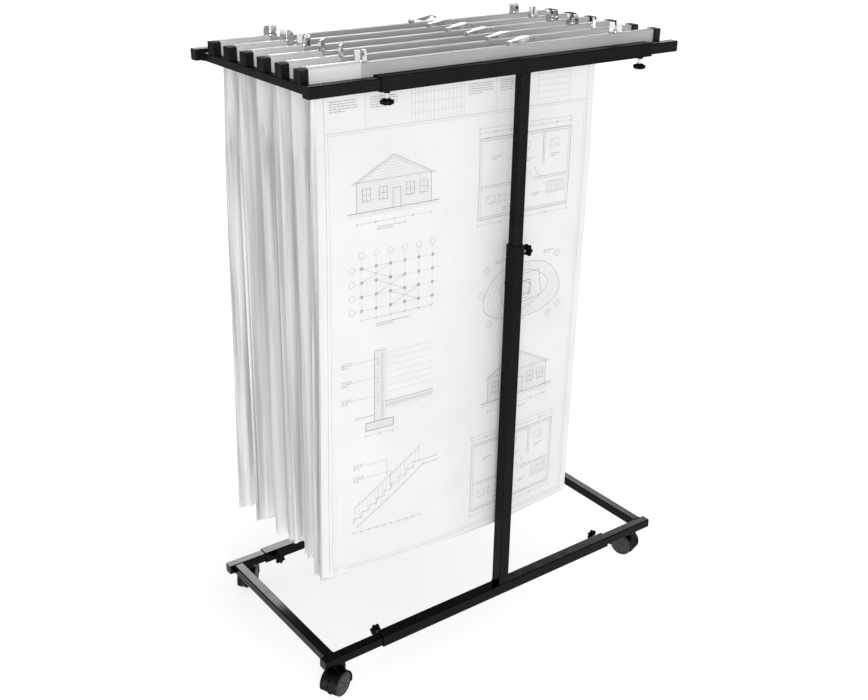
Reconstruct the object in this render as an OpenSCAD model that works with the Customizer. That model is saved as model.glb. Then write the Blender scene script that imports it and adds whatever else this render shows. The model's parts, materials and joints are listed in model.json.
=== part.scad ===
// Mobile plan rack: two telescoping rectangular frames of square tube, joined by
// telescoping posts, on four twin-wheel casters. Hanging clamps lie across the top frame
// and grip packs of drawing sheets. X runs along the clamps, Y from front to back, and the
// origin is on the floor under the front post's X and midway between front and back.

/* [Frame] */
// From the front post's middle to each end of the base frame
base_reach = 436; // [410:0.5:480]
// From the front post's middle to the left end of the top frame
top_reach_left = 436; // [410:0.5:480]
// From the front post's middle to the right end of the top frame
top_reach_right = 374; // [350:0.5:480]
// From the first and last clamps' middles to the frames' outer faces
clamp_margin = 55.5; // [50:0.5:80]
// Height of the top frame's upper face
frame_top = 1171; // [1120:1:1300]
// Height of the base frame's underside, which is the casters' height
frame_low = 62; // [60:0.5:75]
// How far the back sleeves and posts stand to the left of the front ones
back_shift = 47; // [0:1:50]

/* [Tubes] */
// Side of the square tube of the arms and upper posts
arm_side = 20; // [19:0.5:21]
// Wall of the arm tube
arm_wall = 1.5; // [1.2:0.1:2]
// Side of the square tube of the base cross rails
base_cross_side = 20; // [15:0.5:20]
// Side of the square tube of the hanging rails
hang_rail_side = 15; // [13:0.5:15.5]
// Wall of the cross rails' and hanging rails' tubes
cross_wall = 1.2; // [1:0.1:1.8]
// Wall of the sleeves and lower posts
sleeve_wall = 2; // [1.5:0.1:3]
// Gap on each side between a tube and the tube that slides in it
slide_gap = 0.5; // [0.3:0.05:0.7]
// Outer corner radius of the square tubes
corner_r = 2.2; // [1.5:0.1:2.4]
// Length of each sleeve
sleeve_len = 610; // [560:1:620]
// Length of each arm of an end frame
arm_len = 330; // [280:1:360]
// From a base arm's end to the cross rail's outer face
base_cross_inset = 8.5; // [4:0.5:20]
// From a left top arm's end to the hanging rail's outer face
left_rail_inset = 10.5; // [0.5:0.5:20]
// From a right top arm's end to the hanging rail's outer face
right_rail_inset = 0.5; // [0.5:0.5:20]
// How far the hanging rails lie below the arms' upper face
hang_rail_drop = 5; // [3:0.1:5]
// Height of the lower posts' open upper ends
post_top = 833; // [760:1:880]
// Length of each upper post inside its lower post
post_insert = 340; // [280:1:380]
// Thickness of the end plugs' outer plates
plug_plate = 1.5; // [1:0.1:3]
// Depth of the end plugs' spigots
plug_depth = 9; // [5:0.5:12]

/* [Star knobs] */
// Radius of the lock screws
stud_r = 3; // [2.5:0.1:3.2]
// Height of the weld nuts
nut_h = 4; // [3:0.5:5]
// Bare screw between a weld nut and its knob
stud_bare = 9; // [6:0.5:12]
// Height of the star knob's lobes
knob_h = 7; // [6:0.5:9]
// Radius over the star knob's lobes
knob_r = 11.8; // [10.5:0.1:13]
// Lobes on each star knob
knob_lobes = 6; // [5:1:8]
// From a top sleeve's end to its lock screw
top_knob_inset = 18; // [12:1:30]
// From the front base sleeve's end to its lock screw
base_knob_inset = 9; // [8:1:30]
// From the back base sleeve's end to its lock screw
back_knob_inset = 24; // [12:1:30]
// From a lower post's upper end to its lock screw
post_knob_drop = 17; // [12:1:30]

/* [Casters] */
// Wheel radius
wheel_r = 25; // [23:0.5:25.5]
// Width of each of the two wheels
wheel_w = 15; // [12:0.5:16]
// Thickness of the web between the wheels
web_w = 6; // [5:0.5:8]
// From the stem's axis back to the axle
trail = 18; // [15:0.5:21]
// Radius of the stem
stem_r = 5; // [4:0.1:5.5]
// From an arm's end to the stem
stem_inset = 40; // [36:0.5:50]
// Thickness of the hood
hood_wall = 1.8; // [1.4:0.1:2.2]

/* [Clamps] */
// From one clamp's middle to the next
clamp_pitch = 59; // [45:0.5:62]
// Width of the clamp's channel
bar_w = 14; // [13:0.5:18]
// Height of the clamp's channel
bar_h = 28; // [26:0.5:32]
// Wall of the channel's sides
bar_wall = 1.6; // [1.2:0.1:2]
// Top wall of the channel
bar_roof = 2.4; // [1.8:0.1:3]
// Width of a hook cap
cap_w = 22; // [19:0.5:26]
// Length of a hook cap's block along the clamp
cap_len = 14.5; // [12:0.5:15]
// Height of a hook cap above its rail
cap_h = 22; // [20:0.5:26]
// Depth of the hook behind the rail
hook_drop = 8; // [5:0.5:10]
// From a clamp's left end to its left wing screw
left_wing_inset = 119; // [90:1:150]
// From a clamp's right end to its right wing screw
right_wing_inset = 110; // [90:1:150]
// Height of a wing screw above the channel
wing_h = 19.5; // [16:0.5:24]
// From the clamp's left end to the lever's pin
lever_at = 429; // [380:1:450]
// Length of the lever
lever_len = 57; // [50:1:75]
// Width of the lever
lever_w = 12; // [10.5:0.5:14]

/* [Plans] */
// Width of the sheets
sheet_w = 610; // [420:1:620]
// Length of the sheets
sheet_len = 954; // [600:1:980]
// From the clamp's left end to the sheets
sheet_inset = 21; // [20.5:0.5:60]
// Thickness of a pack where it is clamped
pack_grip = 2.4; // [1:0.1:3]
// Depth that a pack takes up as it hangs
pack_hang = 24; // [10:1:30]

/* [Hidden] */
$fn = 32;
CLAMPS = [1:6];
ENDS = ["left", "right"];
FACES = ["front", "back"];
CORNERS = ["front_left", "front_right", "back_left", "back_right"];
SLEEVES = ["top", "base"];

run_fit = 0.05;    // radial play of a shaft in its bore
seat_gap = 0.1;    // play between parts that seat on each other
clear_gap = 0.3;   // play between parts that only pass each other
weld_bite = 1;     // how far a welded tube's end enters the wall that it stands on
black = "#1b1b1d";
plastic = "#222225";
bright = "#d8dadd";
alloy = "#a9acb0";
paper = "#f2f3f5";

sleeve_side = arm_side + 2 * (slide_gap + sleeve_wall);
side_gap = (sleeve_side - arm_side) / 2;
arm_y = 2.5 * clamp_pitch + clamp_margin - arm_side / 2;
low_z = frame_low + arm_side / 2;
high_z = frame_top - arm_side / 2;
hang_z = frame_top - hang_rail_drop;
hang_left = -top_reach_left + left_rail_inset;
hang_right = top_reach_right - right_rail_inset;
clamp_len = hang_right - hang_left;
bar_top = hang_z + cap_h - 0.5;
bar_low = bar_top - bar_h;
hood_r = wheel_r + 1 + hood_wall;
// The swivel position of each caster, from +X
swivel = [202, 108, 50, 250];
// How far round each clamp's left and right wing screw stands
wing_turn = [[6, -37], [48, 52], [42, -42], [-50, -25], [-40, 14], [-20, 0]];
// How far the lower end of each pack swings back
pack_lean = [0, 0, 2, 6, 12, 24];

function is_back(c) = c == "back" || c == "back_left" || c == "back_right";
function is_right(c) = c == "right" || c == "front_right" || c == "back_right";
function side_y(c) = is_back(c) ? 1 : -1;
function side_x(c) = is_right(c) ? 1 : -1;
function tee_x(c) = is_back(c) ? -back_shift : 0;
function clamp_y(i) = (i - 3.5) * clamp_pitch;
function reach(s, e) = s == "base" ? base_reach : is_right(e) ? top_reach_right : top_reach_left;
function frame_z(s) = s == "base" ? low_z : high_z;

// --- Square tubes -----------------------------------------------------------

module round_square(side, r) {
    square([side - 2 * r, side], center = true);
    square([side, side - 2 * r], center = true);
    for (x = [-1, 1]) for (y = [-1, 1])
        translate([x, y] * (side / 2 - r)) circle(r);
}

module tube(len, side, wall) {
    linear_extrude(len) difference() {
        round_square(side, corner_r);
        round_square(side - 2 * wall, max(corner_r - wall, 0.5));
    }
}

// A tube along X from x0 to x1
module tube_x(x0, x1, y, z, side, wall) {
    translate([x0, y, z]) rotate([0, 90, 0]) tube(x1 - x0, side, wall);
}

// --- Tees: a sleeve with its post, and the weld nuts of its lock screws -------

module weld_nut() {
    corner_ratio = 1.95;
    cylinder(h = nut_h, r = corner_ratio * stud_r, $fn = 6);
}

// Moves its children to a lock screw's seat, with +Z pointing away from the tube
module at_sleeve_lock(s, c) {
    inset = s == "top" ? top_knob_inset : is_back(c) ? back_knob_inset : base_knob_inset;
    x = tee_x(c) + side_x(c) * (sleeve_len / 2 - inset);
    if (s == "top")
        translate([x, side_y(c) * arm_y, high_z - sleeve_side / 2]) rotate([180, 0, 0]) children();
    else
        translate([x, side_y(c) * (arm_y - sleeve_side / 2), low_z])
            rotate([side_y(c) * 90, 0, 0]) children();
}

module at_post_lock(f) {
    translate([tee_x(f) + sleeve_side / 2, side_y(f) * arm_y, post_top - post_knob_drop])
        rotate([0, 90, 0]) children();
}

module stud_hole(r) {
    translate([0, 0, -sleeve_wall - slide_gap]) cylinder(h = sleeve_wall + slide_gap + nut_h + 1, r = r);
}

module base_tees() {
    color(black) for (f = FACES) difference() {
        union() {
            tube_x(tee_x(f) - sleeve_len / 2, tee_x(f) + sleeve_len / 2, side_y(f) * arm_y, low_z,
                sleeve_side, sleeve_wall);
            translate([tee_x(f), side_y(f) * arm_y, low_z + sleeve_side / 2 - weld_bite])
                tube(post_top - low_z - sleeve_side / 2 + weld_bite, sleeve_side, sleeve_wall);
            for (e = ENDS) at_sleeve_lock("base", str(f, "_", e)) weld_nut();
            at_post_lock(f) weld_nut();
        }
        for (e = ENDS) at_sleeve_lock("base", str(f, "_", e)) stud_hole(stud_r + run_fit);
        at_post_lock(f) stud_hole(stud_r + run_fit);
    }
}

module top_tees() {
    post_low = post_top - post_insert;
    color(black) for (f = FACES) difference() {
        union() {
            tube_x(tee_x(f) - sleeve_len / 2, tee_x(f) + sleeve_len / 2, side_y(f) * arm_y, high_z,
                sleeve_side, sleeve_wall);
            translate([tee_x(f), side_y(f) * arm_y, post_low])
                tube(high_z - sleeve_side / 2 + weld_bite - post_low, arm_side, arm_wall);
            for (e = ENDS) at_sleeve_lock("top", str(f, "_", e)) weld_nut();
        }
        for (e = ENDS) at_sleeve_lock("top", str(f, "_", e)) stud_hole(stud_r + run_fit);
    }
}

// --- End frames: a cross rail welded between two arms, with plugged tube ends --

// Drawn for the left end, with the arms' outer ends at x = 0 and the arms running to +X
module end_frame(s, cross_inset) {
    cross_side = s == "base" ? base_cross_side : hang_rail_side;
    drop = s == "base" ? arm_side - base_cross_side : hang_rail_drop;
    cross_z = frame_z(s) + arm_side / 2 - drop - cross_side / 2;
    cross_y = arm_y - arm_side / 2 + weld_bite;
    difference() {
        union() {
            for (y = [-1, 1]) tube_x(0, arm_len, y * arm_y, frame_z(s), arm_side, arm_wall);
            translate([cross_inset + cross_side / 2, cross_y, cross_z])
                rotate([90, 0, 0]) tube(2 * cross_y, cross_side, cross_wall);
        }
        if (s == "base") for (y = [-1, 1])
            translate([stem_inset, y * arm_y, frame_low - 1]) cylinder(h = arm_wall + 2, r = stem_r + run_fit);
    }
    for (y = [-1, 1]) translate([0, y * arm_y, frame_z(s)]) end_plug();
}

module end_plug() {
    spigot = arm_side - 2 * arm_wall - 2 * seat_gap;
    rotate([0, -90, 0]) {
        translate([0, 0, seat_gap / 2]) linear_extrude(plug_plate) round_square(arm_side, corner_r);
        translate([0, 0, -plug_depth]) linear_extrude(plug_depth + plug_plate) difference() {
            round_square(spigot, max(corner_r - arm_wall, 0.5));
            round_square(spigot - 3, 0.5);
        }
    }
}

module placed_end(s, e) {
    inset = s == "base" ? base_cross_inset : is_right(e) ? right_rail_inset : left_rail_inset;
    color(black)
        if (is_right(e)) translate([reach(s, e), 0, 0]) mirror([1, 0, 0]) end_frame(s, inset);
        else translate([-reach(s, e), 0, 0]) end_frame(s, inset);
}

// --- Star knobs on their lock screws ------------------------------------------

module star_knob() {
    tip = sleeve_wall + slide_gap - 2 * seat_gap;
    base = nut_h + stud_bare;
    lobe_r = knob_r * 0.26;
    core_r = knob_r * 0.72;
    neck_r = stud_r * 1.9;
    neck_h = 2;
    crown_h = 1;
    color(bright) translate([0, 0, -tip]) cylinder(h = tip + base + crown_h, r = stud_r);
    color(plastic) translate([0, 0, base]) {
        cylinder(h = neck_h, r1 = neck_r, r2 = core_r);
        translate([0, 0, neck_h]) linear_extrude(knob_h) {
            circle(core_r);
            for (a = [0:360 / knob_lobes:359]) rotate(a) {
                translate([knob_r - lobe_r, 0]) circle(lobe_r);
                translate([knob_r / 2 - lobe_r / 2, 0]) square([knob_r - lobe_r, 1.5 * lobe_r], center = true);
            }
        }
        translate([0, 0, neck_h + knob_h]) cylinder(h = crown_h, r1 = core_r, r2 = core_r - crown_h);
    }
}

// --- Casters -------------------------------------------------------------------

module at_caster(c) {
    k = side_x(c) > 0 ? 1 : 0;
    translate([side_x(c) * (base_reach - stem_inset), side_y(c) * arm_y, 0])
        rotate(swivel[is_back(c) ? 2 + k : k]) children();
}

// Draws its 2D children, in the X-Z plane around the axle, as a slab of width w
module across_axle(w) {
    translate([trail, w / 2, wheel_r]) rotate([90, 0, 0]) linear_extrude(w) children();
}

module caster_body() {
    hood_w = 2 * wheel_w + web_w + 2;
    skirt = 0.35 * wheel_r;
    boss_r = stem_r + 3.5;
    slot = [6, web_w - 2, 5];
    slot_angles = [8, 34];
    stem_bite = 4;
    color(plastic) difference() {
        union() {
            across_axle(hood_w) difference() {
                circle(hood_r, $fn = 64);
                circle(hood_r - hood_wall, $fn = 64);
                translate([-hood_r - 1, -2 * hood_r - skirt]) square([2 * hood_r + 2, 2 * hood_r]);
            }
            across_axle(web_w) difference() {
                circle(hood_r - 0.5, $fn = 64);
                translate([-hood_r - 1, -2 * hood_r - 2 * skirt]) square([2 * hood_r + 2, 2 * hood_r]);
            }
            intersection() {
                translate([0, 0, wheel_r]) cylinder(h = frame_low - clear_gap - wheel_r, r = boss_r);
                difference() {
                    cube([4 * hood_r, 4 * hood_r, 2 * frame_low], center = true);
                    across_axle(hood_w) circle(hood_r - hood_wall / 2, $fn = 64);
                }
            }
        }
        across_axle(hood_w + 2) circle(stud_r + run_fit);
        for (a = slot_angles) translate([trail, 0, wheel_r]) rotate([0, -a, 0])
            translate([hood_r, 0, 0]) cube(slot, center = true);
    }
    color(bright) cylinder_from(frame_low - stem_bite, frame_low + arm_side - arm_wall - 1, stem_r);
}

module cylinder_from(z0, z1, r) {
    translate([0, 0, z0]) cylinder(h = z1 - z0, r = r);
}

module caster_wheels() {
    inner = web_w / 2 + 0.5;
    rim = 2.5;
    color(plastic) translate([trail, 0, wheel_r]) {
        for (y = [-1, 1]) rotate([-y * 90, 0, 0]) translate([0, 0, inner]) rotate_extrude($fn = 64)
            polygon([[0, 0], [wheel_r - 1, 0], [wheel_r, 1], [wheel_r, wheel_w - 1.5],
                [wheel_r - 1.5, wheel_w], [wheel_r - rim, wheel_w], [wheel_r - rim - 0.8, wheel_w - 1],
                [wheel_r - rim - 1.8, wheel_w - 0.3], [wheel_r / 2, wheel_w + 0.4], [0, wheel_w + 0.7]]);
        rotate([90, 0, 0]) cylinder(h = 2 * inner + 2, r = stud_r, center = true);
    }
}

// --- Clamps ----------------------------------------------------------------------

module at_clamp(i) {
    translate([hang_left, clamp_y(i), 0]) children();
}

// Where the wing screws and the jaw strip that they draw up lie, across the channel
jaw_front = -bar_w / 2 + bar_wall + seat_gap * 2 + pack_grip + seat_gap * 2;
jaw_back = bar_w / 2 - bar_wall - seat_gap * 2;
screw_y = (jaw_front + jaw_back) / 2;
screw_r = 2.5;
pin_r = 1.5;
pin_z = bar_top + 3.8;

function wing_x(e) = is_right(e) ? clamp_len - right_wing_inset : left_wing_inset;

// The channel's section: crowned sides, rounded upper edges and an open underside
module channel_section() {
    crown_r = 90;
    edge_r = 2;
    difference() {
        intersection() {
            union() {
                translate([-bar_w / 2, bar_low]) square([bar_w, bar_h - edge_r]);
                translate([-bar_w / 2 + edge_r, bar_low]) square([bar_w - 2 * edge_r, bar_h]);
                for (y = [-1, 1]) translate([y * (bar_w / 2 - edge_r), bar_top - edge_r]) circle(edge_r);
            }
            for (y = [-1, 1]) translate([y * (crown_r - bar_w / 2), (bar_low + bar_top) / 2])
                circle(crown_r, $fn = 360);
        }
        translate([-bar_w / 2 + bar_wall, bar_low - 1]) square([bar_w - 2 * bar_wall, bar_h - bar_roof + 1]);
    }
}

module along_x(x0, x1) {
    translate([x0, 0, 0]) rotate([90, 0, 90]) linear_extrude(x1 - x0) children();
}

module clamp_bar() {
    ear_w = 1.6;
    ear_r = 3;
    ear_y = lever_w / 2 - ear_w;
    end_x = cap_len + seat_gap * 2;
    notch = hang_rail_side + 0.5;
    color(alloy) {
        difference() {
            union() {
                along_x(end_x, clamp_len - end_x) channel_section();
                for (y = [-1, 1]) translate([lever_at, y * (ear_y + ear_w / 2), 0]) rotate([90, 0, 0])
                    linear_extrude(ear_w, center = true) {
                        translate([-ear_r, bar_top - 0.5]) square([2 * ear_r, pin_z - bar_top + 0.5]);
                        translate([0, pin_z]) circle(ear_r);
                    }
            }
            for (x = [-1, clamp_len - notch]) translate([x, -bar_w, bar_low - 1])
                cube([notch + 1, 2 * bar_w, hang_z + clear_gap - bar_low + 1]);
            for (e = ENDS) translate([wing_x(e), screw_y, bar_top - bar_roof - 1])
                cylinder(h = bar_roof + 2, r = screw_r + 2 * seat_gap);
        }
        translate([lever_at, 0, pin_z]) rotate([90, 0, 0]) cylinder(h = lever_w - 0.4, r = pin_r, center = true);
        jaw_strip();
    }
}

// The strip inside the channel that the wing screws draw against the sheets
module jaw_strip() {
    start = 30;
    rise = 3;
    strip_h = 12;
    difference() {
        translate([start, jaw_front, bar_low + rise])
            cube([clamp_len - 2 * start, jaw_back - jaw_front, strip_h]);
        for (e = ENDS) translate([wing_x(e), screw_y, bar_low])
            cylinder(h = bar_h, r = screw_r + run_fit);
    }
}

module hook_cap() {
    spine_w = bar_w - 2 * bar_wall - 4 * seat_gap;
    lip = 3;
    lip_x = hang_rail_side + 0.4;
    tongue = 19.5;
    tongue_h = bar_top - bar_roof - seat_gap * 2 - hang_z;
    translate([0, -cap_w / 2, hang_z]) cube([cap_len, cap_w, cap_h]);
    translate([0, spine_w / 2, hang_z]) rotate([90, 0, 0]) linear_extrude(spine_w)
        polygon([[cap_len - 1, 0], [lip_x, 0], [lip_x, -hook_drop + 1], [lip_x + 1, -hook_drop],
            [lip_x + lip - 1, -hook_drop], [lip_x + lip, -hook_drop + 1], [lip_x + lip, 1],
            [tongue, 1], [tongue, tongue_h], [cap_len - 1, tongue_h]]);
}

module clamp_hooks() {
    color(plastic) {
        hook_cap();
        translate([clamp_len, 0, 0]) mirror([1, 0, 0]) hook_cap();
    }
}

module wing_screw() {
    hub_r = 4.2;
    hub_h = 6;
    wing_w = 11;
    wing_t = 2.6;
    split = 1.3;
    reach_down = bar_h - 6;
    color(bright) translate([0, 0, bar_top + seat_gap]) {
        cylinder(h = hub_h, r1 = hub_r + 0.6, r2 = hub_r);
        translate([0, 0, -reach_down]) cylinder(h = reach_down + hub_h / 2, r = screw_r);
        rotate([90, 0, 0]) linear_extrude(wing_t, center = true) for (m = [0, 1]) mirror([m, 0])
            polygon([[0, 0.5], [split + wing_w - 0.5, 0.5], [split + wing_w, 1], [split + wing_w - 0.8, wing_h - 1],
                [split + wing_w - 1.8, wing_h], [split + 0.6, wing_h], [split, wing_h - 0.6],
                [split, hub_h - 1], [0, hub_h - 1]]);
    }
}

module clamp_lever() {
    rise = 2;
    plate_t = 1.6;
    flange_t = 1.4;
    flange_stop = 12;
    barrel_r = 3;
    inner_w = lever_w - 3.2 - 4 * seat_gap;
    start = 6;
    color(bright) translate([lever_at, 0, pin_z]) difference() {
        union() {
            rotate([90, 0, 0]) cylinder(h = inner_w, r = barrel_r, center = true);
            rotate([0, -rise, 0]) {
                translate([0, -inner_w / 2, barrel_r - plate_t]) cube([start + 1, inner_w, plate_t]);
                translate([start, -lever_w / 2, barrel_r - plate_t])
                    cube([lever_len - start, lever_w, plate_t]);
                for (y = [-lever_w / 2, lever_w / 2 - flange_t])
                    translate([start, y, 0]) cube([lever_len - start - flange_stop, flange_t, barrel_r]);
            }
        }
        rotate([90, 0, 0]) cylinder(h = lever_w + 2, r = pin_r + run_fit, center = true);
    }
}

// --- Plans -------------------------------------------------------------------------

// A pack of sheets, held flat in the channel and fanned out below it
module plans(i) {
    grip_y = -bar_w / 2 + bar_wall + seat_gap * 2;
    mid_y = grip_y + pack_grip / 2;
    grip_h = 18;
    top_z = bar_low + grip_h;
    low = top_z - sheet_len;
    neck = bar_low - 2;
    lean = pack_lean[i - 1];
    // How deep the pack is, and how far back, at heights down from the channel to the lower edge
    levels = [[neck, pack_grip, 0], [neck - 60, pack_hang * 0.55, 0], [neck - 170, pack_hang * 0.9, 0.05],
        [neck - 380, pack_hang, 0.3], [low, pack_hang * 0.9, 1]];
    count = len(levels);
    color(paper) translate([sheet_inset, mid_y, 0]) along_x(0, sheet_w) polygon(concat(
        [[pack_grip / 2, top_z], [-pack_grip / 2, top_z]],
        [for (p = levels) [p[2] * lean - p[1] / 2, p[0]]],
        [for (k = [count - 1:-1:0]) [levels[k][2] * lean + levels[k][1] / 2, levels[k][0]]]));
}

// --- The nodes -----------------------------------------------------------------------

base_tees();
top_tees();
for (s = SLEEVES) for (e = ENDS)
    placed_end(s, e);
for (c = CORNERS) {
    at_caster(c) caster_body();
    at_caster(c) caster_wheels();
    for (s = SLEEVES)
        at_sleeve_lock(s, c) star_knob();
}
for (f = FACES)
    at_post_lock(f) star_knob();
for (i = CLAMPS) {
    at_clamp(i) clamp_bar();
    at_clamp(i) clamp_hooks();
    at_clamp(i) clamp_lever();
    at_clamp(i) plans(i);
    for (e = ENDS)
        at_clamp(i) translate([wing_x(e), screw_y, 0])
                rotate(wing_turn[i - 1][e == "left" ? 0 : 1]) wing_screw();
}
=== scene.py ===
import json
import math
import random

import bmesh
import bpy
import numpy as np
from mathutils import Matrix, Vector


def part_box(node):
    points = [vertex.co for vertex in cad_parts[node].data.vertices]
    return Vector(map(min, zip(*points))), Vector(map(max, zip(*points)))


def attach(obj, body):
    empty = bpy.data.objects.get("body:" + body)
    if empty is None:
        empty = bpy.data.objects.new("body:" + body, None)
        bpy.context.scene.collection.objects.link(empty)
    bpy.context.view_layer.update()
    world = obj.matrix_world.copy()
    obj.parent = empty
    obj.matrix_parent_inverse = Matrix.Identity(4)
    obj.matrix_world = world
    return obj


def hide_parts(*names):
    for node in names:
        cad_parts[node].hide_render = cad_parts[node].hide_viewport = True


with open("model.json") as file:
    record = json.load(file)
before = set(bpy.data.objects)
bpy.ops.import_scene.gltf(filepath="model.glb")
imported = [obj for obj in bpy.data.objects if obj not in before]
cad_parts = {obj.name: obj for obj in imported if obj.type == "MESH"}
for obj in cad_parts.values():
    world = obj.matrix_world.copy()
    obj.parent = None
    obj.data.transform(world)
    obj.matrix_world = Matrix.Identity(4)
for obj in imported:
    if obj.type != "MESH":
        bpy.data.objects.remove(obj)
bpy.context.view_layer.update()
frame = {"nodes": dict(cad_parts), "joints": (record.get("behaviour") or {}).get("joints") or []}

MM = 0.001
JOINTS = {j["name"]: j for j in frame["joints"]}
CLAMPS = range(1, 7)
SIDES = ("left", "right")
CORNERS = ("front_left", "front_right", "back_left", "back_right")

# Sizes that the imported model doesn't state, in millimetres
SLEEVE_SIDE = 25.0
ARM_SIDE = 20.0
RAIL_SIDE = 15.0
CORNER_R = 2.2
# How unevenly the weld beads swell, and into how many lumps on each side of a tube
BEAD_LUMPS = 0.5
LUMPS_PER_SIDE = 9
BAR_W = 14.0
PITCH = 59.0
# The rack's middle lies between the third clamp and the fourth
MIDDLE_CLAMP = 3.5
# How far the sheets reach up into the bars, and how far the end caps stand proud of the bars' tops
GRIP_H = 18.0
CAP_PROUD = 0.5
BAR_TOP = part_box("clamp_hooks_1")[1].z / MM - CAP_PROUD
BAR_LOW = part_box("plans_1")[1].z / MM - GRIP_H


# --- Camera ---

def show(thing):
    bpy.context.scene.collection.objects.link(thing)


def make_camera():
    """The photograph's view: where the camera stands, where it looks and how long its lens is."""
    place = Vector((-1.3458, -1.7403, 1.5342))
    yaw, pitch, roll = 0.6440, 0.4218, 0.0165
    ahead = Vector((math.sin(yaw) * math.cos(pitch), math.cos(yaw) * math.cos(pitch), -math.sin(pitch)))
    level = Vector((math.cos(yaw), -math.sin(yaw), 0))
    above = level.cross(ahead)
    right = level * math.cos(roll) + above * math.sin(roll)
    up = above * math.cos(roll) - level * math.sin(roll)
    data = bpy.data.cameras.new("camera")
    data.sensor_width = 36.0
    data.lens = 48.32
    data.clip_end = 200.0
    camera = bpy.data.objects.new("camera", data)
    show(camera)
    turn = Matrix((right, up, -ahead)).transposed()
    camera.matrix_world = Matrix.Translation(place) @ turn.to_4x4()
    bpy.context.scene.camera = camera
    bpy.context.scene.view_settings.view_transform = "Standard"


# --- Materials ---

class Surface:
    """A procedural material, built node by node in the object's own metres."""

    def __init__(self, name, color, roughness, metallic=0.0, specular=0.5):
        self.material = bpy.data.materials.new(name)
        self.material.use_nodes = True
        self.tree = self.material.node_tree
        self.shader = self.tree.nodes["Principled BSDF"]
        self.set("Base Color", (*color, 1.0))
        self.set("Roughness", roughness)
        self.set("Metallic", metallic)
        self.set("Specular IOR Level", specular)
        self.place = self.add("ShaderNodeTexCoord").outputs["Object"]

    def add(self, kind, **values):
        node = self.tree.nodes.new(kind)
        for key, value in values.items():
            setattr(node, key, value)
        return node

    def set(self, socket, value):
        self.shader.inputs[socket].default_value = value

    def link(self, output, socket):
        self.tree.links.new(output, socket)

    def stretched(self, stretch):
        node = self.add("ShaderNodeMapping")
        node.inputs["Scale"].default_value = stretch
        self.link(self.place, node.inputs["Vector"])
        return node.outputs["Vector"]

    def noise(self, scale, detail=3.0, stretch=(1, 1, 1), distortion=0.0):
        node = self.add("ShaderNodeTexNoise")
        node.inputs["Scale"].default_value = scale
        node.inputs["Detail"].default_value = detail
        node.inputs["Distortion"].default_value = distortion
        self.link(self.stretched(stretch), node.inputs["Vector"])
        return node.outputs["Fac"]

    def ramp(self, factor, low, high, start=0.35, end=0.65):
        """Maps a factor between start and end to a colour or a value between low and high."""
        node = self.add("ShaderNodeValToRGB")
        node.color_ramp.elements[0].position = start
        node.color_ramp.elements[1].position = end
        for element, value in zip(node.color_ramp.elements, (low, high)):
            element.color = (*value, 1.0) if hasattr(value, "__len__") else (value, value, value, 1.0)
        self.link(factor, node.inputs["Fac"])
        return node.outputs["Color"]

    def near_left(self, full, none):
        """1 to the left of x = full, fading to 0 at x = none, in metres."""
        parts = self.add("ShaderNodeSeparateXYZ")
        self.link(self.place, parts.inputs["Vector"])
        node = self.add("ShaderNodeMapRange")
        for socket, value in (("From Min", none), ("From Max", full)):
            node.inputs[socket].default_value = value
        self.link(parts.outputs["X"], node.inputs["Value"])
        return node.outputs["Result"]

    def mixed(self, factor, calm, marked):
        node = self.add("ShaderNodeMix", data_type="RGBA")
        self.link(factor, node.inputs["Factor"])
        colors = [socket for socket in node.inputs if socket.type == "RGBA"]
        self.link(calm, colors[0])
        self.link(marked, colors[1])
        return next(socket for socket in node.outputs if socket.type == "RGBA")

    def color(self, output):
        self.link(output, self.shader.inputs["Base Color"])

    def roughness(self, output):
        self.link(output, self.shader.inputs["Roughness"])

    def bump(self, height, strength, distance):
        """Adds relief: distance is the height of the relief in metres."""
        node = self.add("ShaderNodeBump")
        node.inputs["Strength"].default_value = strength
        node.inputs["Distance"].default_value = distance
        self.link(height, node.inputs["Height"])
        if self.shader.inputs["Normal"].is_linked:
            self.link(self.shader.inputs["Normal"].links[0].from_socket, node.inputs["Normal"])
        self.link(node.outputs["Normal"], self.shader.inputs["Normal"])


def powder_coat(name, tone, edge, roughness, metallic):
    """Satin black powder coat: orange peel, a cloudy sheen and fine specks.

    The grain keeps a real coat dark at glancing angles, which a metal's dark edge tint does here.
    """
    s = Surface(name, (tone, tone, tone), roughness, metallic=metallic, specular=0.0)
    s.set("Specular Tint", (edge, edge, edge, 1.0))
    s.color(s.ramp(s.noise(30, 4), (tone * 0.9,) * 3, (tone * 1.1, tone * 1.1, tone * 1.15)))
    s.roughness(s.ramp(s.noise(45, 5), roughness - 0.02, roughness + 0.03))
    s.bump(s.noise(900, 2), 0.2, 0.00006)
    s.bump(s.noise(3200, 1), 0.1, 0.00002)
    return s.material


def moulded_black(name, roughness, tone, edge):
    """Moulded black plastic with a fine spark-eroded grain, dark at glancing angles too."""
    s = Surface(name, (tone, tone, tone * 1.05), roughness, metallic=1.0)
    s.set("Specular Tint", (edge, edge, edge, 1.0))
    s.color(s.ramp(s.noise(60, 4), (tone * 0.8,) * 3, (tone * 1.3, tone * 1.3, tone * 1.4)))
    s.roughness(s.ramp(s.noise(140, 4), roughness - 0.07, roughness + 0.08))
    s.bump(s.noise(2600, 2), 0.35, 0.00005)
    return s.material


def satin_aluminium():
    """Anodised extrusion: fine die lines along the bar and a soft cloudy sheen."""
    s = Surface("satin_aluminium", (0.63, 0.635, 0.64), 0.5, metallic=0.15, specular=0.18)
    s.color(s.ramp(s.noise(14, 4, (0.6, 4, 4)), (0.60, 0.605, 0.61), (0.67, 0.675, 0.68)))
    s.roughness(s.ramp(s.noise(900, 3, (0.02, 1, 1)), 0.46, 0.6))
    s.bump(s.noise(1500, 2, (0.012, 1, 1)), 0.22, 0.00004)
    return s.material


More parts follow.
